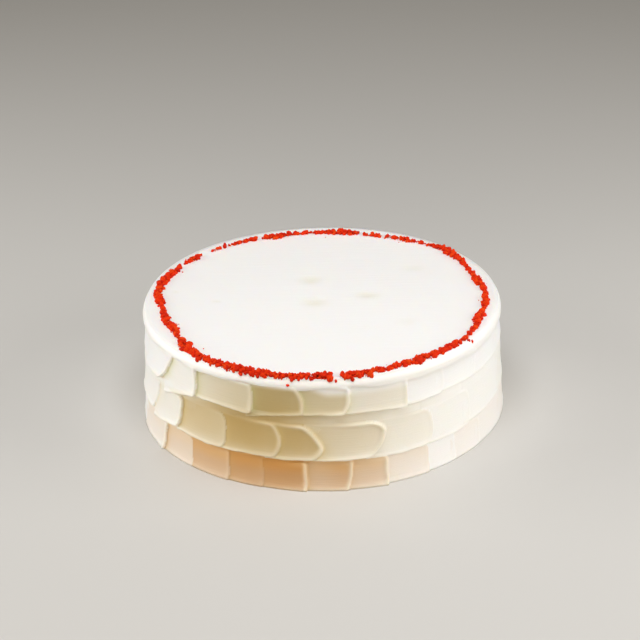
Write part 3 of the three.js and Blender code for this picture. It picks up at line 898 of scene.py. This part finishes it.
def large_crumbs():
    """Places and radii of the ring's larger crumbs: even steps round it, shifted along and across by seed."""
    i = np.arange(CRUMB_COUNT)
    degrees = (i + CRUMB_SHIFT * (draw(i, 1) - 0.5)) * 360 / CRUMB_COUNT
    side = np.where(i % 2 == 1, 1, -1)
    middle, half_width = ring_at(degrees)
    radius = middle + half_width * side * mix(*OFF_MIDDLE, draw(i, 2))
    size = (CRUMB_RADIUS + CRUMB_SPREAD * draw(i, 6) ** 2) * mix(THIN_SIZE, 1, fullness(half_width))
    kept = ~in_gap(degrees)
    centres = places_on_top(degrees, radius, CRUMB_RISE * size)[kept]
    angles, radii, fallen = np.array(FALLEN_CRUMBS).T
    places = places_on_top(angles, radii, CRUMB_RISE * fallen)
    return np.concatenate([centres, places]), np.append(size[kept], fallen)


def unit_lump(subdivisions):
    """The points and triangles of a ball of even triangles, a millimetre in radius."""
    ball = bmesh.new()
    bmesh.ops.create_icosphere(ball, subdivisions=subdivisions, radius=1)
    ball.verts.ensure_lookup_table()
    points = np.array([v.co for v in ball.verts])
    faces = np.array([[v.index for v in f.verts] for f in ball.faces])
    ball.free()
    return points, faces


def crumb_material():
    """Moist torn sponge: matt, porous, and a little let through by the light."""
    material, surface, shade = new_material("red_velvet_crumb")
    tint = shade.node("ShaderNodeAttribute", {"attribute_name": "tint"}, {})
    place = shade.node("ShaderNodeTexCoord", {}, {}, output=3)
    pores = shade.node("ShaderNodeTexNoise", {}, {"Vector": place, "Scale": 900.0, "Detail": 3.0})
    shaded = shade.node(
        "ShaderNodeMix",
        {"data_type": "RGBA", "blend_type": "MULTIPLY"},
        {0: (1 - pores) * 0.9, 6: tint, 7: PORE_TINT},
        output=2,
    )
    surface.inputs["Roughness"].default_value = 0.8
    surface.inputs["Specular IOR Level"].default_value = 0.15
    surface.inputs["Subsurface Weight"].default_value = 0.15
    surface.inputs["Subsurface Radius"].default_value = (1.0, 0.25, 0.15)
    surface.inputs["Subsurface Scale"].default_value = 0.001
    links = shade.tree.links
    links.new(shaded.socket, surface.inputs["Base Color"])
    bump = shade.node("ShaderNodeBump", {}, {"Strength": 0.6, "Distance": 0.0003, "Height": pores})
    links.new(bump.socket, surface.inputs["Normal"])
    return material


def crumbs_piece(name, centres, sizes, subdivisions, seed, roughness):
    """One mesh of many lumps, each with its own shade of red.

    A lump's radius varies over it by a mean of sine waves in seeded directions, and a little by chance at
    each point. Then the lump is squeezed along each axis.
    """
    chance = np.random.default_rng(seed)
    points, faces = unit_lump(subdivisions)
    count = len(centres)
    waves = chance.normal(size=(count, LUMP_WAVES, 3)) * LUMP_CLOSENESS
    phases = chance.uniform(0, 2 * np.pi, (count, LUMP_WAVES, 1))
    swing = np.sin(np.einsum("nkc,mc->nkm", waves, points) + phases).mean(axis=1)
    jitter = chance.uniform(-1, 1, (count, len(points)))
    scale = 1 + roughness * (LUMP_SWING * swing + LUMP_JITTER * jitter)
    squeeze = chance.uniform(*LUMP_SQUEEZE, (count, 1, 3))
    lumps = points[None] * scale[..., None] * squeeze * sizes[:, None, None] + centres[:, None, :]
    all_faces = faces[None] + (np.arange(count) * len(points))[:, None, None]
    shade = chance.uniform(0, 1, (count, 1))
    colours = np.where(
        shade < 0.5,
        mix(DARK_CRUMB_COLOUR, CRUMB_COLOUR, smoothstep(*DARK_SHADES, shade)),
        mix(CRUMB_COLOUR, BRIGHT_CRUMB_COLOUR, smoothstep(*BRIGHT_SHADES, shade) * BRIGHT_SHARE),
    )
    colours = np.repeat(colours, len(points), axis=0)
    attributes = {"tint": ("FLOAT_COLOR", with_alpha(colours))}
    made = piece_of(name, lumps.reshape(-1, 3), all_faces.reshape(-1, 3), attributes)
    made.data.materials.append(crumb_sponge)
    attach(made, "root")
    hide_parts("frosted_cake")


crumb_sponge = crumb_material()
crumbs_piece("large_crumbs", *large_crumbs(), subdivisions=3, seed=11, roughness=0.3)

# The fine crumbs: what the same rubbing leaves between and over the lumps, down to specks. They fill the
# ring to a low uneven bank, and a few stray specks lie beside it on the frosting.

# Their radii lie between two and are mostly small, and the ring's two waves, each with its count in a full
# turn, make the bank uneven. The outermost ones stay off the rim's edge.
FINE_COUNT = 3200
SPECK_COUNT = 4200
STRAY_COUNT = 26
FINE_SIZES = (0.65, 1.6)
SPECK_SIZES = (0.28, 0.65)
STRAY_SIZES = (0.22, 0.5)
MOSTLY_SMALL = 1.8
BANK_DEVIATION = 0.5
BANK_WIDTH = 0.95
BANK_UNEVENNESS = 0.25
BANK_WAVES = (17, 7)
BANK_SPREAD = 0.5
BANK_HEIGHT = 1.7
THIN_BANK = 0.4
WIDEST = 3.2
OUTERMOST = 102.8
STRAYS_OUTERMOST = 102
STRAY_GAP = 1
STRAY_DISTANCE = 1.6


def banked_crumbs(count, seed, sizes, lift):
    """Places and radii of crumbs thrown at random along the ring, by a normal spread across it.

    They are piled up by a parabola across the ring. The product of the two waves makes its width uneven, and
    fewer of them are kept where it is narrow.
    """
    chance = np.random.default_rng(seed)
    degrees = chance.uniform(0, 360, count)
    share = np.clip(chance.normal(0, BANK_DEVIATION, count), -1, 1)
    middle, half_width = ring_at(degrees)
    many, few = (np.radians(degrees * waves) for waves in BANK_WAVES)
    uneven = BANK_WIDTH + BANK_UNEVENNESS * np.sin(many) * np.sin(few + 1)
    radius = np.minimum(middle + share * (half_width + BANK_SPREAD) * uneven, OUTERMOST)
    size = mix(*sizes, chance.uniform(0, 1, count) ** MOSTLY_SMALL)
    bank = BANK_HEIGHT * mix(THIN_BANK, 1, fullness(half_width)) * (1 - share**2)
    bank = bank * chance.uniform(0, 1, count)
    kept = ~in_gap(degrees) & (chance.uniform(0, 1, count) < half_width / WIDEST)
    return places_on_top(degrees, radius, bank + lift * size)[kept], size[kept]


def stray_specks():
    """Places and radii of single specks beside the ring, fewer the further off."""
    chance = np.random.default_rng(5)
    degrees = chance.uniform(0, 360, STRAY_COUNT)
    middle, half_width = ring_at(degrees)
    side = chance.choice([-1, 1], STRAY_COUNT)
    off = side * (half_width + STRAY_GAP + chance.exponential(STRAY_DISTANCE, STRAY_COUNT))
    size = chance.uniform(*STRAY_SIZES, STRAY_COUNT)
    return places_on_top(degrees, np.minimum(middle + off, STRAYS_OUTERMOST), CRUMB_RISE * size), size


fine_crumbs = banked_crumbs(FINE_COUNT, 21, FINE_SIZES, lift=0.3)
crumbs_piece("fine_crumbs", *fine_crumbs, subdivisions=2, seed=22, roughness=0.32)
speck_places, speck_sizes = banked_crumbs(SPECK_COUNT, 23, SPECK_SIZES, lift=0.6)
stray_places, stray_sizes = stray_specks()
all_specks = np.concatenate([speck_places, stray_places]), np.append(speck_sizes, stray_sizes)
crumbs_piece("crumb_specks", *all_specks, subdivisions=1, seed=24, roughness=0.3)

# The studio floor: a flat sheet painted a pale matt grey, far wider than the cake. It lies a hair under the
# base, so that the two faces don't meet.
FLOOR_HALF = 1500
FLOOR_CELLS = 8
FLOOR_HEIGHT = -0.02
FLOOR_COLOUR = linear([206, 204, 200])
CLOUDED_SHARE = 0.93


def floor_piece():
    """A flat square grid."""
    side = np.linspace(-FLOOR_HALF, FLOOR_HALF, FLOOR_CELLS + 1)
    x, y = np.meshgrid(side, side)
    points = np.stack([x.ravel(), y.ravel(), np.full(x.size, FLOOR_HEIGHT)], axis=1)
    i, j = np.meshgrid(np.arange(FLOOR_CELLS), np.arange(FLOOR_CELLS))
    a = (i + (FLOOR_CELLS + 1) * j).ravel()
    b, c, d = a + 1, a + FLOOR_CELLS + 2, a + FLOOR_CELLS + 1
    return piece_of("floor", points, np.concatenate([np.stack([a, b, c], 1), np.stack([a, c, d], 1)]), {})


def floor_material():
    """Matt pale grey paint with a faint cloudiness."""
    material, surface, shade = new_material("pale_floor")
    place = shade.node("ShaderNodeTexCoord", {}, {}, output=3)
    cloud = shade.node("ShaderNodeTexNoise", {}, {"Vector": place, "Scale": 3.0, "Detail": 2.0})
    colour = shade.node(
        "ShaderNodeMix",
        {"data_type": "RGBA"},
        {0: cloud * 0.3, 6: (*FLOOR_COLOUR, 1), 7: (*(FLOOR_COLOUR * CLOUDED_SHARE), 1)},
        output=2,
    )
    shade.tree.links.new(colour.socket, surface.inputs["Base Color"])
    surface.inputs["Roughness"].default_value = 0.7
    return material


floor = floor_piece()
floor.data.materials.append(floor_material())

# The studio lamps: wide soft ones at the right, the left and overhead, all nearly white, and a warm one low
# in front, which gives the lower rows part of their peach tint. Weak warm light comes from all round.
WORLD_COLOUR = (1.0, 0.86, 0.62, 1)
WORLD_STRENGTH = 0.13


def soft_lamp(name, azimuth, elevation, distance, size, power, colour):
    """A square area lamp that faces the cake from an azimuth, 0 in front and 90 at the right, in metres."""
    a, e = np.radians([azimuth, elevation])
    away = np.array([np.sin(a) * np.cos(e), -np.cos(a) * np.cos(e), np.sin(e)])
    lamp = bpy.data.lights.new(name, "AREA")
    lamp.size = size
    lamp.energy = power
    lamp.color = colour
    made = bpy.data.objects.new(name, lamp)
    bpy.context.scene.collection.objects.link(made)
    made.location = away * distance + np.array([0, 0, HEIGHT / 2 * MM])
    made.rotation_mode = "QUATERNION"
    made.rotation_quaternion = Vector(away).to_track_quat("Z", "Y")


soft_lamp("right_lamp", 75, 20, distance=0.9, size=0.6, power=4.3, colour=(1.0, 0.995, 0.985))
soft_lamp("left_lamp", -90, 16, distance=1.0, size=0.7, power=5.45, colour=(1.0, 1.0, 0.995))
soft_lamp("top_lamp", 0, 72, distance=1.1, size=0.7, power=8.4, colour=(1.0, 1.01, 1.04))
soft_lamp("front_lamp", -8, 6, distance=1.2, size=0.8, power=3.05, colour=(1.0, 0.84, 0.6))
world = bpy.data.worlds.new("studio")
world.use_nodes = True
world.node_tree.nodes["Background"].inputs[0].default_value = WORLD_COLOUR
world.node_tree.nodes["Background"].inputs[1].default_value = WORLD_STRENGTH
bpy.context.scene.world = world
bpy.context.scene.view_settings.view_transform = "Standard"

# The camera: a long lens that looks down on the front of the cake, held with a slight roll. The cake's
# middle, half way up, falls on a stated pixel of the square picture, at a stated scale.
CAMERA_DISTANCE = 1300
CAMERA_ELEVATION = 27.1
CAMERA_ROLL = 1.38
SENSOR_WIDTH = 36
PIXELS = 640
PIXELS_PER_MM = 1.674
CAKE_PIXEL = (322.2, 348.8)
CAMERA_REACH = (0.1, 10)


def aim_camera():
    """Places the camera so that the cake's middle falls on its pixel, with the roll about the line of sight.

    Its axes are the level right and up turned by the roll. It looks at the point that lies as far above and
    beside the cake's middle, across the view, as the picture's middle is from the cake's pixel.
    """
    e, roll = np.radians([CAMERA_ELEVATION, CAMERA_ROLL])
    middle = np.array([0, 0, HEIGHT / 2])
    forward = np.array([0, np.cos(e), -np.sin(e)])
    level, up = np.array([1, 0, 0]), np.array([0, np.sin(e), np.cos(e)])
    right, top = level * np.cos(roll) - up * np.sin(roll), level * np.sin(roll) + up * np.cos(roll)
    place = middle - forward * CAMERA_DISTANCE
    off_x, off_y = ((pixel - PIXELS / 2) / PIXELS_PER_MM for pixel in CAKE_PIXEL)
    forward = middle - right * off_x + top * off_y - place
    forward = forward / np.linalg.norm(forward)
    right = np.cross(forward, top)
    right = right / np.linalg.norm(right)
    top = np.cross(right, forward)
    data = bpy.data.cameras.new("camera")
    data.sensor_width = SENSOR_WIDTH
    data.lens = SENSOR_WIDTH * CAMERA_DISTANCE * PIXELS_PER_MM / PIXELS
    data.clip_start, data.clip_end = CAMERA_REACH
    camera = bpy.data.objects.new("camera", data)
    bpy.context.scene.collection.objects.link(camera)
    camera.rotation_mode = "QUATERNION"
    camera.rotation_quaternion = Matrix(np.stack([right, top, -forward], axis=1)).to_quaternion()
    camera.location = place * MM
    bpy.context.scene.camera = camera


aim_camera()
